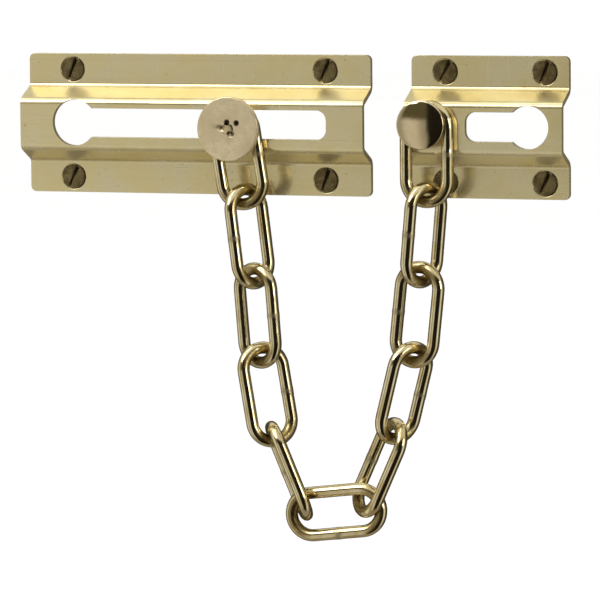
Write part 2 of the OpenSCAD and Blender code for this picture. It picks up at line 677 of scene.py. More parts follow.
@dataclass(frozen=True)
class RolledBrass:
    """Brass-plated rolled sheet: faint rolling lines, clouds, scratches, specks."""

    name: str = "rolled_brass_plate"
    gold: Colour = (0.66, 0.56, 0.29)
    pale: Colour = (0.74, 0.66, 0.41)
    stain: Colour = (0.40, 0.31, 0.13)
    bright: Colour = (0.93, 0.85, 0.58)
    rough_low: float = 0.14
    rough_high: float = 0.26
    flank_from: Station = (-2.2 * MM, -3.2 * MM)
    flank_to: Station = (-8.6 * MM, -7.8 * MM)
    flank_dulling: float = 0.13

    def build(self) -> Material:
        """Build the material.

        Returns:
            The material.
        """
        g = Graph(self.name)
        clouds = g.noise(70, 5, 0.6)
        lines = g.noise(1.0, 6, 0.65, g.moved("Scale", (7, 900, 1500)))
        grain = g.noise(3800, 3, 0.6)
        scratches = g.maths(
            "MAXIMUM",
            g.hairs((40, 2400, 2400), 24, 0.66, 0.74),
            g.hairs((2300, 2300, 50), 61, 0.69, 0.76),
        )
        specks = g.ramp(g.noise(900, 2, 0.5), 0.70, 0.76)
        wear = g.worn_edge(0.35 * MM)
        colour = g.tint(g.ramp(clouds, 0.35, 0.68), self.gold, self.pale)
        colour = g.tint(g.ramp(lines, 0.55, 0.8, 0.0, 0.30), colour, self.stain)
        colour = g.tint(g.times(specks, 0.22), colour, self.stain)
        colour = g.tint(g.times(scratches, 0.35), colour, self.bright)
        colour = g.tint(g.times(wear, 0.7), colour, self.bright)
        depth = g.split(g.place)["Y"]
        flank = g.times(
            g.ramp(depth, *self.flank_from), g.ramp(depth, *self.flank_to)
        )
        rough = g.ramp(clouds, 0.3, 0.72, self.rough_low, self.rough_high)
        rough = g.plus(rough, g.times(scratches, 0.10))
        rough = g.plus(rough, g.times(specks, 0.18))
        rough = g.plus(rough, g.times(flank, self.flank_dulling))
        normal = g.bump(lines, 0.02 * MM, 0.35)
        normal = g.bump(grain, 0.006 * MM, 0.35, normal)
        normal = g.bump(g.noise(260, 2, 0.4), 0.05 * MM, 0.25, normal)
        return g.finish(colour, rough, normal, metallic=0.85)


@dataclass(frozen=True)
class DrawnWire:
    """Bright plated wire: rippled by drawing and bending, rubbed in the bows, with
    painted shade and painted reflection darkening the insides of the bows.
    """

    name: str = "drawn_wire_plate"
    bright: Colour = (0.80, 0.71, 0.47)
    warm: Colour = (0.66, 0.53, 0.27)
    painted_bow_shade: Colour = (0.30, 0.215, 0.06)
    burnt: Colour = (0.20, 0.15, 0.08)

    def build(self) -> Material:
        """Build the material.

        Returns:
            The material.
        """
        g = Graph(self.name)
        clouds = g.noise(190, 4, 0.6)
        bow_shade_and_rub = g.times(g.attribute("bow_shade_and_rub"), g.ramp(g.noise(800, 3, 0.7), 0.22, 0.5))
        seam = g.attribute("seam")
        specks = g.ramp(g.noise(1300, 2, 0.5), 0.70, 0.77)
        colour = g.tint(g.ramp(clouds, 0.35, 0.7), self.bright, self.warm)
        # painted shade and painted reflection: the insides of the bows, where the links
        # interlock, darkened to olive
        colour = g.tint(g.times(bow_shade_and_rub, 0.8), colour, self.painted_bow_shade)
        colour = g.tint(g.times(seam, 0.4), colour, self.burnt)
        colour = g.tint(g.times(specks, 0.4), colour, self.burnt)
        rough = g.ramp(clouds, 0.3, 0.75, 0.07, 0.17)
        rough = g.plus(rough, g.times(bow_shade_and_rub, 0.22))
        rough = g.plus(rough, g.times(seam, 0.30))
        normal = g.bump(g.noise(330, 2, 0.35), 0.11 * MM, 0.30)
        normal = g.bump(g.noise(2600, 3, 0.6), 0.005 * MM, 0.3, normal)
        normal = g.bump(bow_shade_and_rub, 0.02 * MM, 0.5, normal)
        return g.finish(colour, rough, normal)


@dataclass(frozen=True)
class TurnedBrass:
    """Turned and plated stud metal with a fine facing mark round its axis."""

    name: str
    axis_node: str
    rough: float
    metallic: float = 1.0
    body: Colour = (0.77, 0.65, 0.42)
    warm: Colour = (0.70, 0.57, 0.35)
    bright: Colour = (0.90, 0.82, 0.60)
    pit_shade: Colour = (0.05, 0.035, 0.015)
    rings_across: float = 5200.0
    rings_along: float = 900.0

    def _rings(self, g: Graph) -> Socket:
        """Fine rings that the facing tool leaves.

        Args:
            g: The material's graph.

        Returns:
            Their height, between 0 and 1.
        """
        axis = centre_of(self.axis_node)
        apart = g.split(g.moved("Location", (-axis.x, 0, -axis.z)))
        square = g.plus(g.times(apart["X"], apart["X"]), g.times(apart["Z"], apart["Z"]))
        across = g.times(g.maths("SQRT", square), self.rings_across)
        along = g.times(apart["Y"], self.rings_along)
        where = g.add("CombineXYZ", {"X": across, "Y": along}).outputs["Vector"]
        return g.noise(1.0, 3, 0.6, where)

    def build(self) -> Material:
        """Build the material.

        Returns:
            The material.
        """
        g = Graph(self.name)
        clouds = g.noise(160, 5, 0.65)
        hairs = g.hairs((60, 2600, 2600), -38, 0.66, 0.74)
        wear = g.worn_edge(0.4 * MM)
        colour = g.tint(g.ramp(clouds, 0.33, 0.7), self.body, self.warm)
        colour = g.tint(g.times(hairs, 0.3), colour, self.bright)
        colour = g.tint(g.times(wear, 0.6), colour, self.bright)
        # painted shade: the staking dents darkened to near black, standing in for the
        # shade inside them
        colour = g.tint(g.attribute("pit_shade"), colour, self.pit_shade)
        rough = g.ramp(clouds, 0.3, 0.72, self.rough * 0.75, self.rough * 1.35)
        rough = g.plus(rough, g.times(hairs, 0.1))
        normal = g.bump(self._rings(g), 0.006 * MM, 0.4)
        normal = g.bump(g.noise(3400, 3, 0.6), 0.006 * MM, 0.35, normal)
        normal = g.bump(g.noise(240, 2, 0.4), 0.04 * MM, 0.25, normal)
        return g.finish(colour, rough, normal, self.metallic)


@dataclass(frozen=True)
class BronzedSteel:
    """Dark bronzed screw steel, rubbed bright on its corners."""

    name: str = "bronzed_screw_steel"
    dark: Colour = (0.14, 0.105, 0.045)
    brown: Colour = (0.27, 0.21, 0.10)
    bright: Colour = (0.62, 0.48, 0.27)

    def build(self) -> Material:
        """Build the material.

        Returns:
            The material.
        """
        g = Graph(self.name)
        clouds = g.noise(420, 5, 0.65)
        grain = g.noise(2900, 4, 0.65)
        patches = g.ramp(g.noise(1500, 3, 0.6), 0.35, 0.6)
        wear = g.times(g.worn_edge(0.3 * MM), patches)
        colour = g.tint(g.ramp(clouds, 0.35, 0.68), self.dark, self.brown)
        colour = g.tint(g.times(wear, 0.7), colour, self.bright)
        rough = g.ramp(grain, 0.3, 0.7, 0.20, 0.36)
        normal = g.bump(grain, 0.012 * MM, 0.45)
        normal = g.bump(clouds, 0.03 * MM, 0.3, normal)
        return g.finish(colour, rough, normal)


@dataclass(frozen=True)
class PaleFloor:
    """Matt pale studio floor with a very faint unevenness."""

    name: str = "pale_floor"
    light: Colour = (0.99, 0.99, 0.985)
    shade: Colour = (0.975, 0.975, 0.97)

    def build(self) -> Material:
        """Build the material.

        Returns:
            The material.
        """
        g = Graph(self.name)
        clouds = g.noise(3, 3, 0.5)
        colour = g.tint(g.ramp(clouds, 0.3, 0.7), self.light, self.shade)
        rough = g.ramp(clouds, 0.3, 0.7, 0.85, 0.95)
        normal = g.bump(g.noise(40, 2, 0.5), 0.1 * MM, 0.1)
        return g.finish(colour, rough, normal, metallic=0.0)


# --------------------------------------------------------------------------
# Pieces
# --------------------------------------------------------------------------


@dataclass
class Workshop:
    """Keeps the finishes and hands finished pieces over to the frame."""

    finishes: dict[Coat, Material]

    def hand_over(
        self, piece: Piece, node: str, body: str, slot: Slot, coat: Coat
    ) -> None:
        """Dress a finished piece and let it stand for its CAD node.

        Args:
            piece: The finished piece.
            node: The CAD node it stands for.
            body: The body it rides on.
            slot: The record's material slot; not used.
            coat: The finish it gets.
        """
        piece.data.materials.clear()
        piece.data.materials.append(self.finishes[coat])
        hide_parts(node)
        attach(piece, body)
        LOG.info("%s stands for %s on %s", piece.name, node, body)


@dataclass
class SubAssembly:
    """A group of pieces that is made and then handed over to the workshop."""

    workshop: Workshop


@dataclass(frozen=True)
class Section:
    """Hat section that both plates are pressed to."""

    half_height: float = 20 * MM
    sheet: float = 1.6 * MM
    rise: float = 7.5 * MM
    base_half: float = 10.8 * MM
    face_half: float = 7.1 * MM
    face_bend: float = 2.2 * MM
    root_bend: float = 1.2 * MM
    corner: float = 1.6 * MM
    bend_steps: int = 8
    corner_steps: int = 6

    @property
    def face(self) -> float:
        """Height of the raised face above the door."""
        return self.sheet + self.rise

    @property
    def half_turn(self) -> float:
        """Half the angle that each bend turns the sheet through."""
        return math.atan2(self.rise, self.base_half - self.face_half) / 2

    def blank(self, name: str, start: float, end: float) -> Piece:
        """Fold a flat strip to the hat section and give it its thickness.

        Args:
            name: Name of the plate.
            start: Lowest X of the plate.
            end: Highest X of the plate.

        Returns:
            The plate with no holes in it.
        """
        Bench.clear()
        flange = self.half_height - self.base_half
        bpy.ops.mesh.primitive_plane_add(
            size=1,
            location=((start + end) / 2, -self.sheet, self.half_height - flange / 2),
            rotation=(math.pi / 2, 0, 0),
        )
        plate = Bench.added(name, (end - start, flange, 1))
        Bench.edit(plate)
        slope = self.face_half - self.base_half
        folds = (
            (-self.rise, slope),
            (0.0, -2 * self.face_half),
            (self.rise, slope),
            (0.0, -flange),
        )
        level = self.base_half
        for out, down in folds:
            Bench.pick(
                plate,
                Pick.EDGES,
                lambda a, b: max(abs(a.z - level), abs(b.z - level)) < SAME_PLACE,
            )
            Bench.pull(0, out, down)
            level += down
        self._round_corners(plate)
        self._bend(plate, self.face_half, self.face_bend)
        self._bend(plate, self.base_half, self.root_bend)
        Bench.face_out()
        Bench.done(plate)
        if plate.data.polygons[0].normal.y > 0:
            plate.data.flip_normals()
        Bench.modify(
            plate, "SOLIDIFY", thickness=self.sheet, offset=-1.0, use_even_offset=True
        )
        return plate

    def _round_corners(self, plate: Piece) -> None:
        """Round the four outer corners of the folded strip.

        Args:
            plate: The strip, in edit mode.
        """
        edge = self.half_height
        Bench.pick(plate, Pick.POINTS, lambda p: abs(abs(p.z) - edge) < SAME_PLACE)
        bpy.ops.mesh.bevel(
            offset=self.corner, segments=self.corner_steps, affect="VERTICES"
        )

    def _bend(self, plate: Piece, half: float, radius: float) -> None:
        """Round the two folds at one height above and below the middle.

        Args:
            plate: The strip, in edit mode.
            half: Distance of both folds from the middle.
            radius: Outside radius of the bend.
        """
        Bench.pick(
            plate,
            Pick.EDGES,
            lambda a, b: abs(abs(a.z) - half) < SAME_PLACE
            and abs(a.z - b.z) < SAME_PLACE
            and abs(a.x - b.x) > 10 * MM,
        )
        bpy.ops.mesh.bevel(
            offset=radius * math.tan(self.half_turn),
            segments=self.bend_steps,
            affect="EDGES",
        )


@dataclass
class Plate(SubAssembly):
    """One pressed plate with its keyhole slot and countersunk holes."""

    name: str
    node: str
    screws: str
    slot_from: float
    slot_to: float
    bulb_at: float
    bulb_radius: float
    rivet: Optional[str] = None
    rivet_radius: float = 2 * MM
    slot_level: float = 0.5 * MM
    slot_half: float = 4.1 * MM
    slot_corner: float = 2.8 * MM
    sink_radius: float = 3.75 * MM
    score_aside: float = 0.31 * MM
    sliver: float = 0.02 * MM
    ease: float = 0.12 * MM
    section: Section = Section()

    def _keyhole(self, plate: Piece) -> None:
        """Punch the slot and the round end of the keyhole.

        Args:
            plate: The plate.
        """
        inside, outside = self.section.face - 4 * MM, self.section.face + 2 * MM
        slot = Bench.block(
            "slot_punch",
            (self.slot_from, -outside, self.slot_level - self.slot_half),
            (self.slot_to, -inside, self.slot_level + self.slot_half),
        )
        Bench.edit(slot)
        Bench.pick(slot, Pick.EDGES, lambda a, b: abs(a.y - b.y) > 1 * MM)
        bpy.ops.mesh.bevel(offset=self.slot_corner, segments=10, affect="EDGES")
        Bench.carve(plate, Bench.done(slot))
        self._drill(plate, self.bulb_radius, 72, (self.bulb_at, self.slot_level))

    def _drill(
        self, plate: Piece, radius: float, segments: int, at: Station
    ) -> None:
        """Drill a straight hole through the raised face.

        Args:
            plate: The plate.
            radius: Radius of the hole.
            segments: Points round the hole.
            at: X and Z of the hole.
        """
        inside, outside = self.section.face - 4 * MM, self.section.face + 2 * MM
        Bench.carve(
            plate,
            Bench.lathe(
                "straight_drill", ((inside, radius), (outside, radius)), segments, at=at
            ),
        )

    def _countersink(self, plate: Piece, at: Station) -> None:
        """Cut one countersunk screw hole.

        Args:
            plate: The plate.
            at: X and Z of the hole.
        """
        sheet, over = self.section.sheet, 1 * MM
        cone = (
            (-over, self.sink_radius - sheet - over),
            (sheet + over, self.sink_radius + over),
        )
        Bench.carve(plate, Bench.lathe("countersink_drill", cone, 56, at=at))

    def make(self) -> None:
        """Press, punch, drill and dress the plate."""
        low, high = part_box(self.node)
        plate = self.section.blank(self.name, low.x, high.x)
        holes = [
            centre_of(f"{self.screws}_{row}_{side}")
            for row in ("upper", "lower")
            for side in ("left", "right")
        ]
        aside = self.score_aside
        columns = {round(hole.x + aside, 6) for hole in holes}
        rows = {round(hole.z + aside, 6) for hole in holes}
        Bench.score(plate, 0, sorted(columns | {self.bulb_at - aside}))
        Bench.score(plate, 2, sorted(rows | {self.slot_level + aside}))
        self._keyhole(plate)
        for hole in holes:
            self._countersink(plate, (hole.x, hole.z))
        if self.rivet:
            spigot = centre_of(self.rivet)
            self._drill(plate, self.rivet_radius, 48, (spigot.x, spigot.z))
        Bench.weld(plate, self.sliver)
        Bench.ease_edges(plate, self.ease)
        Bench.shade(plate, Shading.WEIGHTED)
        self.workshop.hand_over(
            plate, self.node, Body.PLATES.value, Slot.PLATE, Coat.PLATE
        )


@dataclass
class TrackPlate(Plate):
    """The long plate on the door, which the slider runs in."""

    name: str = "pressed_track"
    node: str = "track_plate"
    screws: str = "track_screw"
    slot_from: float = -35.2 * MM
    slot_to: float = 41 * MM
    bulb_at: float = -35.2 * MM
    bulb_radius: float = 6.6 * MM


@dataclass
class KeeperPlate(Plate):
    """The short plate on the frame, which holds the chain's fixed end."""

    name: str = "pressed_keeper"
    node: str = "keeper_plate"
    screws: str = "keeper_screw"
    slot_from: float = 82 * MM
    slot_to: float = 100 * MM
    bulb_at: float = 100 * MM
    bulb_radius: float = 6 * MM
    rivet: Optional[str] = "keeper_stud"


@dataclass(frozen=True)
class OvalLink:
    """Welded oval link bent from round wire, modelled once and copied."""

    wire: float = 3.5 * MM
    bow_pitch: float = 26.8 * MM
    bow: float = 6.05 * MM
    round_points: int = 36
    bow_steps: int = 36
    seam_heights: Sequence[float] = (2.2, 1.4, 1, 0.6, 0.2, -0.2, -0.6, -1, -1.4, -2.2)
    seam_widths: Sequence[float] = (
        1, 1, 1.012, 1.03, 1.04, 1.036, 1.028, 1.01, 1, 1,
    )
    seam_spread: float = 0.8 * MM

    @property
    def leg(self) -> float:
        """Half the length of a straight leg."""
        return self.bow_pitch / 2 - self.bow

    def _straight(self, start: float, stops: Sequence[Station], x: float) -> None:
        """Extrude the open end of the wire along a leg.

        Args:
            start: Height where the leg starts.
            stops: Height and thickness of each stop.
            x: Where the leg stands.
        """
        level, width = start, 1.0
        for stop, thickness in stops:
            Bench.pull(0, 0, stop - level)
            if abs(thickness - width) > SAME_PLACE:
                scale = thickness / width
                bpy.ops.transform.resize(
                    value=(scale, scale, 1), center_override=(x, 0, stop)
                )
            level, width = stop, thickness

    def _bow(self, level: float) -> None:
        """Bend the open end of the wire half round.

        Args:
            level: Height of the bow's centre.
        """
        bpy.ops.mesh.spin(
            steps=self.bow_steps, angle=math.pi, center=(0, 0, level), axis=(0, 1, 0)
        )

    def model(self, name: str, seam_right: bool) -> Piece:
        """Bend the wire round the link, standing upright about the origin.

        Args:
            name: Name of the link.
            seam_right: Whether the weld is on the leg at +X.

        Returns:
            The link.
        """
        Bench.clear()
        leg = self.leg
        bpy.ops.mesh.primitive_circle_add(
            vertices=self.round_points,
            radius=self.wire / 2,
            fill_type="NOTHING",
            location=(self.bow, 0, leg),
        )
        link = Bench.added(name)
        Bench.edit(link)
        plain = [(leg * k / 4, 1.0) for k in (3, 2, 1, 0, -1, -2, -3, -4)]
        weld = [(h * MM, w) for h, w in zip(self.seam_heights, self.seam_widths)]
        seamed = [(leg * 0.7, 1.0)] + weld + [(-leg * 0.7, 1.0), (-leg, 1.0)]
        self._bow(leg)
        self._straight(leg, plain if seam_right else seamed, -self.bow)
        self._bow(-leg)
        back = [(-z, t) for z, t in (seamed if seam_right else plain)]
        self._straight(-leg, back, self.bow)
        Bench.merge(SAME_PLACE)
        Bench.face_out()
        Bench.done(link)
        self._mark(link, 1.0 if seam_right else -1.0)
        Bench.shade(link, Shading.SMOOTH)
        return link

    def _mark(self, link: Piece, side: float) -> None:
        """Store where the bows rub and take painted shade, and where the weld lies, as
        mesh values.

        Args:
            link: The link, upright about the origin.
            side: Which leg the weld is on, as the sign of its X.
        """
        # The insides of the bows are marked both for painted shade and for the roughening
        # where they rub.
        bow_shade_and_rub = link.data.attributes.new("bow_shade_and_rub", "FLOAT", "POINT")
        seam = link.data.attributes.new("seam", "FLOAT", "POINT")
        for index, point in enumerate(link.data.vertices):
            x, z = point.co.x, abs(point.co.z)
            past = max(z - self.leg, 0.0)
            inner = Vector((x, past)).length < 1.12 * self.bow
            end = max(0.0, (z - self.leg - 0.1 * self.bow) / (0.45 * self.bow))
            bow_shade_and_rub.data[index].value = min(1.0, end) if inner else 0.0
            near = math.exp(-((point.co.z / self.seam_spread) ** 2))
            seam.data[index].value = near if x * side > 0 else 0.0


@dataclass
class Chain(SubAssembly):
    """The eleven links between the two studs.

    A lean is a link's turn in the plane of the plates, and a twist is its turn
    about its own length, both in degrees.
    """

    leans: Sequence[float] = (9.0, 7, 4.5, 9.5, 23.02, 96.96, 156, 166, 174, 175, 180)
    twists: Sequence[float] = (0, 63, -23, 42, -64, 0, 46, -58, 12, -63, 0)
    seams_right: Sequence[bool] = (
        True, False, True, True, False, False, True, False, True, True, False,
    )
    link: OvalLink = OvalLink()

    def make(self) -> None:
        """Copy the link to each place on the chain."""
        patterns = {
            right: self.link.model("link_pattern", right) for right in (True, False)
        }
        rows = zip(self.leans, self.twists, self.seams_right)
        for number, (lean, twist, right) in enumerate(rows, start=1):
            node = f"link_{number:02d}"
            link = Bench.copied(patterns[right], f"welded_{node}")
            turn = turned(-lean, "Y") @ turned(twist, "Z")
            Bench.place(link, Matrix.Translation(centre_of(node)) @ turn)
            self.workshop.hand_over(link, node, node, Slot.CHAIN, Coat.WIRE)
        for pattern in patterns.values():
            bpy.data.objects.remove(pattern)


@dataclass(frozen=True)
class Pit:
    """One dent that a staking punch leaves, with its sizes in millimetres.

    Floor is the dent's floor radius as a share of its radius, and stretch is how
    much longer than wide it is.
    """

    across: float
    up: float
    radius: float
    depth: float
    floor: float
    stretch: float = 1.0
    lean: float = 0.0

    def punch(self, level: float) -> Piece:
        """Turn the punch nose and stand it over its dent.

        Args:
            level: Height of the struck face.

        Returns:
            The closed cutter.
        """
        radius, depth, floor = self.radius, self.depth, self.radius * self.floor
        slope, over = (radius - floor) / depth, 0.8
        nose = Bench.lathe(
            "punch_nose",
            mm(
                (-depth, floor),
                (-depth * 0.75, floor + slope * 0.1),
                (0.0, radius),
                (over, radius + slope * over),
            ),
            segments=28,
        )
        return Bench.place(
            nose,
            Matrix.Translation((self.across * MM, -level, self.up * MM))
            @ turned(-self.lean, "Y")
            @ Matrix.Diagonal((self.stretch, 1, 1, 1)),
        )


@dataclass
class Slider(SubAssembly):
    """The sliding stud and the disc staked on its front end."""

    disc_radius: float = 9.1 * MM
    neck: float = 1.8 * MM
    stem: float = 2.8 * MM
    flange: float = 5.2 * MM
    flange_thick: float = 1.5 * MM
    fit: float = 0.01 * MM
    disc_rear_edge: Sequence[Station] = mm((0, 0.9), (0.08, 0.5), (0.3, 0.15), (0.6, 0))
    disc_front_edge: Sequence[Station] = mm(
        (0.42, 0), (0.2, 0.05), (0.07, 0.16), (0, 0.38)
    )
    disc_flat: float = 5.6 * MM
    bore_edge: float = 0.06 * MM
    flange_edge: Sequence[Station] = mm((0, 0.25), (0.2, 0), (1.3, 0), (1.5, 0.2))
    root: Sequence[Station] = mm((0, -0.25), (0.25, 0))
    crown: Sequence[Station] = mm((0.02, 0.08), (0.07, 0.35), (0.10, 0.9), (0.11, 1.6))
    pits: Sequence[Pit] = (
        Pit(-0.15, 1.9, 0.88, 1.2, 0.55),
        Pit(2.7, 1.7, 0.88, 1.2, 0.55),
        Pit(-2.0, 0.3, 1.0, 0.85, 0.1, 1.4, -22.0),
        Pit(1.3, -1.4, 1.0, 0.85, 0.1, 1.35, 8.0),
    )
    # painted shade in the dents: its reach from the axis and its depths below the front
    # face
    pit_shade_reach: float = 4.6 * MM
    pit_shade_depths: Station = (0.3 * MM, 1.6 * MM)

    def _disc(self, back: float, front: float) -> Piece:
        """Turn the disc.

        Args:
            back: Height of its rear face.
            front: Height of its front face.

        Returns:
            The disc, about the origin's axis.
        """
        radius, neck, bore_edge = self.disc_radius, self.neck, self.bore_edge
        stations = [
            (back, neck),
            *rounded(back, radius, self.disc_rear_edge),
            *rounded(front, radius, self.disc_front_edge, -1),
            (front, self.disc_flat),
            (front, neck + bore_edge),
            (front - bore_edge, neck),
        ]
        return Bench.lathe("slider_button", stations, segments=128, bored=True)

    def _pin(self, rear: float, back: float, front: float) -> Piece:
        """Turn the stud.

        Args:
            rear: Height of its rear face.
            back: Height of the disc's rear face.
            front: Height of the disc's front face.

        Returns:
            The stud, about the origin's axis.
        """
        neck = self.neck - self.fit
        stations = [
            *rounded(rear, self.flange, self.flange_edge),
            *rounded(rear + self.flange_thick, self.stem, self.root),
            (back, self.stem),
            (back, neck),
            (front - 0.04 * MM, neck),
            *rounded(front, self.neck, self.crown),
        ]
        return Bench.lathe("slider_pin", stations)

    def _mark_pit_shade(self, piece: Piece, level: float) -> None:
        """Store where the staking dents get painted shade, as a mesh value.

        Args:
            piece: The disc or the stud, about the origin's axis.
            level: Height of the disc's front face.
        """
        pit_shade = piece.data.attributes.new("pit_shade", "FLOAT", "POINT")
        shallow, deepest = self.pit_shade_depths
        for index, point in enumerate(piece.data.vertices):
            depth = level + point.co.y
            near = math.hypot(point.co.x, point.co.z) < self.pit_shade_reach
            deep = near and shallow < depth < deepest
            pit_shade.data[index].value = min(1.0, depth / MM) if deep else 0.0

    def make(self) -> None:
        """Turn the stud and the disc, stake them and dress them."""
        low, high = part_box("slider_disc")
        middle = (low + high) / 2
        back, front = -high.y, -low.y
        rear = -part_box("slider_stud")[1].y
        for piece, node, coat in (
            (self._disc(back, front), "slider_disc", Coat.BUTTON),
            (self._pin(rear, back, front), "slider_stud", Coat.PIN),
        ):
            for pit in self.pits:
                Bench.carve(piece, pit.punch(front))
            Bench.shade(piece, Shading.WEIGHTED)
            self._mark_pit_shade(piece, front)
            Bench.place(piece, shifted(middle.x, middle.z))
            self.workshop.hand_over(piece, node, Body.SLIDER.value, Slot.STUD, coat)


@dataclass
class KeeperStud(SubAssembly):
    """The headed stud riveted through the keeper plate."""

    head: float = 6.9 * MM
    head_thick: float = 2.1 * MM
    stem: float = 2.5 * MM
    spigot: float = 1.99 * MM
    peened: float = 3.38 * MM
    peened_edge: Sequence[Station] = mm((0, 1.38), (0.1, 0.58), (0.45, 0.08))
    root: Sequence[Station] = mm((0, -0.1), (0.1, 0))
    under_edge: Sequence[Station] = mm((0, 0.8), (0.1, 0.4), (0.35, 0.08), (0.6, 0))
    dome: Sequence[Station] = mm(
        (1.15, 0), (0.95, 0.06), (0.82, 0.2), (0.74, 0.4), (0.56, 1.2),
        (0.38, 2.2), (0.23, 3.3), (0.10, 4.5), (0.025, 5.6),
    )
    dome_flat: float = 0.3 * MM
    section: Section = Section()

    def make(self) -> None:
        """Turn the stud, rivet it and dress it."""
        low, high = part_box("keeper_stud")
        middle = (low + high) / 2
        rear, front = -high.y, -low.y
        under, face = front - self.head_thick, self.section.face
        inside = face - self.section.sheet
        stations = [
            *rounded(rear, self.peened, self.peened_edge),
            (inside, self.peened),
            (inside, self.spigot),
            (face, self.spigot),
            *rounded(face, self.stem, self.root),
            (under, self.stem),
            *rounded(under, self.head, self.under_edge),
            *rounded(front, self.head, self.dome, -1),
            (front, self.dome_flat),
        ]
        stud = Bench.lathe("keeper_rivet", stations, segments=128)
        Bench.shade(stud, Shading.BY_ANGLE)
        Bench.place(stud, shifted(middle.x, middle.z))
        self.workshop.hand_over(
            stud, "keeper_stud", Body.PLATES.value, Slot.STUD, Coat.RIVET
        )


@dataclass(frozen=True)
class WoodScrew:
    """Slotted countersunk wood screw, modelled once and copied."""

    head: float = 3.6 * MM
    shank: float = 1.9 * MM
    core: float = 1.35 * MM
    sheet: float = 1.6 * MM
    length: float = 17 * MM
    tip: Sequence[Station] = mm((0, -0.12), (0.3, -0.45))
    point: float = 4 * MM
    core_to: float = -3.2 * MM
    shank_from: float = -2.4 * MM
    rim: Sequence[Station] = mm((0.08, 0), (0.01, 0.12), (0, 0.5))
    slot_half: float = 0.46 * MM
    slot_deep: float = 0.85 * MM
    ease: float = 0.05 * MM
    pitch: float = 1.7 * MM
    turns: float = 5.5
    thread_from: float = 4.4 * MM
    thread_half: float = 0.55 * MM
    thread_sunk: float = 0.25 * MM
    steps: int = 20

    def model(self) -> Piece:
        """Turn the screw about the -Y axis, cut its slot and thread it.

        Returns:
            The pattern screw.
        """
        head, sheet = self.head, self.sheet
        stations = [
            *rounded(-self.length, 0, self.tip),
            (-self.length + self.point, self.core),
            (self.core_to, self.core),
            (self.shank_from, self.shank - 0.02 * MM),
            (sheet - (head - self.shank), self.shank),
            *rounded(sheet, head, self.rim, -1),
        ]
        screw = Bench.lathe("screw_pattern", stations, segments=48)
        slot = Bench.block(
            "slot_saw",
            (-head - MM, -sheet - MM, -self.slot_half),
            (head + MM, -sheet + self.slot_deep, self.slot_half),
        )
        Bench.carve(screw, slot)
        Bench.weld(screw, 0.01 * MM)
        Bench.ease_edges(screw, self.ease, 40)
        Bench.carve(screw, self._thread(), Cut.ON)
        Bench.weld(screw, 0.004 * MM)
        Bench.shade(screw, Shading.BY_ANGLE)
        return screw

    def _thread(self) -> Piece:
        """Extrude the three-sided ridge of the thread along its helix.

        Returns:
            The closed ridge.
        """
        Bench.clear()
        start = self.length - self.thread_from
        radius = self.thread_half / math.cos(math.pi / 6)
        bpy.ops.mesh.primitive_circle_add(
            vertices=3,
            radius=radius,
            fill_type="NGON",
            location=(self.shank - radius, start, 0),
            rotation=(0, 0, -math.pi / 2),
        )
        ridge = Bench.added("thread_ridge")
        Bench.edit(ridge)
        tall = self.shank - self.core + self.thread_sunk
        bpy.ops.transform.resize(
            value=(tall / (1.5 * radius), 1, 1), center_override=(self.shank, start, 0)
        )
        for _ in range(round(self.steps * self.turns)):
            Bench.pull(0, -self.pitch / self.steps, 0)
            bpy.ops.transform.rotate(
                value=2 * math.pi / self.steps,
                orient_axis="Y",
                center_override=(0, 0, 0),
            )
        Bench.face_out()
        return Bench.done(ridge)


@dataclass
class Screws(SubAssembly):
    """All eight screws, each driven to its own turn in degrees."""

    track_turns: Sequence[float] = (70, 68, 66, 72)
    keeper_turns: Sequence[float] = (64, 70, 75, 67)

    def make(self) -> None:
        """Copy the pattern screw into every hole."""
        pattern = WoodScrew().model()
        corners = ("upper_left", "upper_right", "lower_left", "lower_right")
        for plate, turns in (
            ("track", self.track_turns),
            ("keeper", self.keeper_turns),
        ):
            for corner, turn in zip(corners, turns):
                node = f"{plate}_screw_{corner}"
                screw = Bench.copied(pattern, f"driven_{node}")
                middle = centre_of(node)
                Bench.place(screw, shifted(middle.x, middle.z) @ turned(-turn, "Y"))
                self.workshop.hand_over(
                    screw, node, Body.PLATES.value, Slot.SCREW, Coat.SCREW
                )
        bpy.data.objects.remove(pattern)


# --------------------------------------------------------------------------
# Studio
# --------------------------------------------------------------------------


@dataclass(frozen=True)
class Bank:
    """One patch of the surroundings, laid over those before it.

    Each span is its low edge, its high edge and half the width of its soft
    sides, in degrees. Rise is 0 level and 90 straight up. Turn is 0 straight out
    from the door and grows towards +X.
    """

    colour: Colour
    rise: Span
    turns: Sequence[Span] = ()


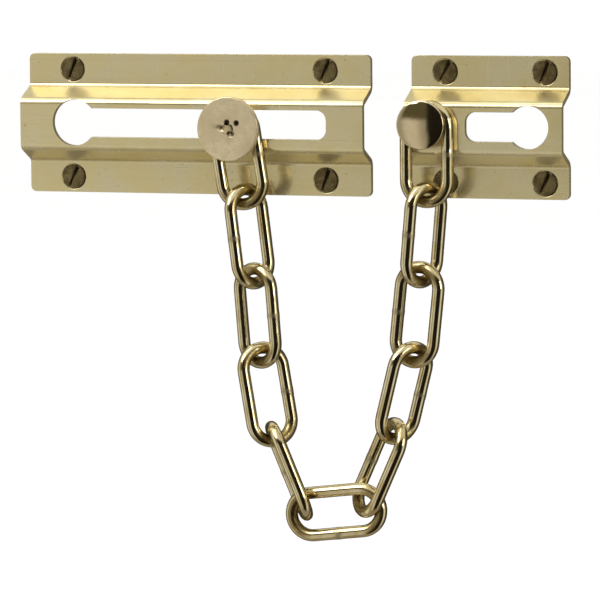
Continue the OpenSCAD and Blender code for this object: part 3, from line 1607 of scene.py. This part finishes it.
@dataclass(frozen=True)
class Surroundings:
    """The studio that the metal mirrors: bright banks and dark gaps."""

    room: Colour = (0.40, 0.385, 0.34)
    plain: Colour = (1.0, 1.0, 1.0)
    plain_strength: float = 1.04
    ground: Bank = Bank((0.33, 0.30, 0.24), (-200, -57, 5))
    fair_wall: Bank = Bank((0.68, 0.66, 0.62), (-57, 200, 5), ((-36, -17.5, 5),))
    ceiling: Bank = Bank((0.80, 0.78, 0.70), (30, 200, 4))
    window: Bank = Bank((2.1, 2.1, 2.1), (33, 200, 3), ((-70, -2, 8),))
    pane: Bank = Bank((0.84, 0.92, 1.24), (46, 60, 3), ((-50, -12, 6),))
    left_bank: Bank = Bank((0.95, 0.93, 0.86), (-46, 30, 12), ((-80, -62, 7),))
    right_bank: Bank = Bank((0.95, 0.93, 0.84), (-46, 30, 12), ((72, 92, 7),))
    shade_strip: Bank = Bank((0.10, 0.09, 0.05), (3, 31, 3), ((-40, -4, 5),))
    dark_gap: Bank = Bank((0.012, 0.010, 0.007), (-72, 36, 8), ((-9, 60, 3),))
    behind: Bank = Bank(
        (0.07, 0.065, 0.05), (-50, 34, 10), ((106, 400, 8), (-400, -112, 8))
    )

    @staticmethod
    def _band(n: Nodes, angle: Socket, span: Span) -> Socket:
        """One inside a span of angles, with soft sides.

        Args:
            n: The world's nodes.
            angle: The angle in degrees.
            span: Low edge, high edge and half the width of the sides.

        Returns:
            The value.
        """
        low, high, soft = span
        return n.times(
            n.ramp(angle, low - soft, low + soft), n.ramp(angle, high + soft, high - soft)
        )

    def _cover(self, n: Nodes, bank: Bank, turn: Socket, rise: Socket) -> Socket:
        """How much of each direction a bank covers.

        Args:
            n: The world's nodes.
            bank: The bank.
            turn: Turn of the direction in degrees.
            rise: Rise of the direction in degrees.

        Returns:
            The share, from 0 to 1.
        """
        cover = self._band(n, rise, bank.rise)
        if not bank.turns:
            return cover
        sides = self._band(n, turn, bank.turns[0])
        for span in bank.turns[1:]:
            sides = n.maths("MAXIMUM", sides, self._band(n, turn, span))
        return n.times(sides, cover)

    def build(self) -> None:
        """Paint the banks, for mirrored rays only, over a plain pale world."""
        world = bpy.data.worlds.new("studio_surroundings")
        bpy.context.scene.world = world
        world.use_nodes = True
        n = Nodes(world.node_tree)
        way = n.split(n.add("TexCoord").outputs["Generated"])
        degrees = 180 / math.pi
        turn = n.times(n.maths("ARCTAN2", way["X"], n.times(way["Y"], -1.0)), degrees)
        rise = n.times(n.maths("ARCSINE", way["Z"]), degrees)
        colour: Source = self.room
        for bank in (
            self.ground,
            self.fair_wall,
            self.ceiling,
            self.window,
            self.pane,
            self.left_bank,
            self.right_bank,
            self.shade_strip,
            self.dark_gap,
            self.behind,
        ):
            colour = n.tint(self._cover(n, bank, turn, rise), colour, bank.colour)
        mirror = n.add("Background", {"Color": colour}).outputs[0]
        plain = {"Color": self.plain, "Strength": self.plain_strength}
        pale = n.add("Background", plain).outputs[0]
        ray = n.add("LightPath").outputs["Is Glossy Ray"]
        mixed = n.add("MixShader", {0: ray, 1: pale, 2: mirror}).outputs[0]
        n.add("OutputWorld", {"Surface": mixed})


@dataclass(frozen=True)
class SoftBank:
    """A soft square lamp: place, side, power in watts and colour of its light."""

    name: str
    at: tuple[float, float, float]
    size: float
    power: float
    colour: Colour

    def hang(self, target: Vector) -> None:
        """Hang the lamp.

        Args:
            target: Where it is aimed.
        """
        data = bpy.data.lights.new(self.name, "AREA")
        data.shape = "SQUARE"
        data.size = self.size
        data.energy = self.power
        data.color = self.colour
        lamp = bpy.data.objects.new(self.name, data)
        bpy.context.collection.objects.link(lamp)
        aim = (Vector(self.at) - target).to_track_quat("Z", "Y")
        lamp.matrix_world = Matrix.Translation(self.at) @ aim.to_matrix().to_4x4()


@dataclass
class Studio:
    """Floor, soft light and camera."""

    azimuth: float = 19.4
    elevation: float = 5.43
    roll: float = -0.45
    distance: float = 1.2474
    lens: float = 265.0
    target: tuple[float, float, float] = (0.0333, -0.010, -0.0489)
    floor_level: float = -0.30
    floor_side: float = 14.0
    banks: Sequence[SoftBank] = (
        SoftBank("key_bank", (-0.9, -1.3, 1.2), 0.9, 9.0, (1.0, 0.98, 0.94)),
        SoftBank("fill_bank", (1.5, -0.6, 0.3), 0.7, 4.0, (1.0, 0.97, 0.92)),
    )

    def _floor(self) -> None:
        """Lay the pale floor."""
        Bench.clear()
        bpy.ops.mesh.primitive_plane_add(
            size=self.floor_side, location=(0, 0, self.floor_level)
        )
        floor = Bench.added("studio_floor")
        Bench.edit(floor)
        bpy.ops.mesh.subdivide(number_cuts=6)
        Bench.done(floor)
        floor.data.materials.append(PaleFloor().build())
        floor.visible_glossy = False

    def _camera(self) -> None:
        """Set up the camera."""
        side, lift = math.radians(self.azimuth), math.radians(self.elevation)
        flat = math.cos(lift)
        back = Vector((math.sin(side) * flat, -math.cos(side) * flat, math.sin(lift)))
        data = bpy.data.cameras.new("studio_camera")
        data.lens = self.lens
        data.sensor_width = 36
        data.clip_start = 0.05
        data.clip_end = 60
        camera = bpy.data.objects.new("studio_camera", data)
        bpy.context.collection.objects.link(camera)
        place = Matrix.Translation(Vector(self.target) + back * self.distance)
        aim = back.to_track_quat("Z", "Y").to_matrix().to_4x4()
        camera.matrix_world = place @ aim @ turned(self.roll, "Z")
        bpy.context.scene.camera = camera

    def build(self) -> None:
        """Build the whole studio."""
        self._floor()
        self._camera()
        Surroundings().build()
        for bank in self.banks:
            bank.hang(Vector(self.target))
        view = bpy.context.scene.view_settings
        view.view_transform = "Standard"
        view.look = "None"


def main() -> None:
    """Build the finishes, the sub-assemblies and the studio in order."""
    logging.basicConfig(level=logging.INFO, format="%(name)s: %(message)s")
    finishes = {
        Coat.PLATE: RolledBrass(),
        Coat.WIRE: DrawnWire(),
        Coat.BUTTON: TurnedBrass("turned_button", "slider_disc", 0.28, 0.78),
        Coat.PIN: TurnedBrass("turned_pin", "slider_disc", 0.15),
        Coat.RIVET: TurnedBrass("turned_rivet", "keeper_stud", 0.09),
        Coat.SCREW: BronzedSteel(),
    }
    workshop = Workshop({coat: finish.build() for coat, finish in finishes.items()})
    for assembly in (TrackPlate, KeeperPlate, Slider, KeeperStud, Chain, Screws):
        assembly(workshop).make()
    Studio().build()
    Bench.clear()


if __name__ == "__main__":
    main()
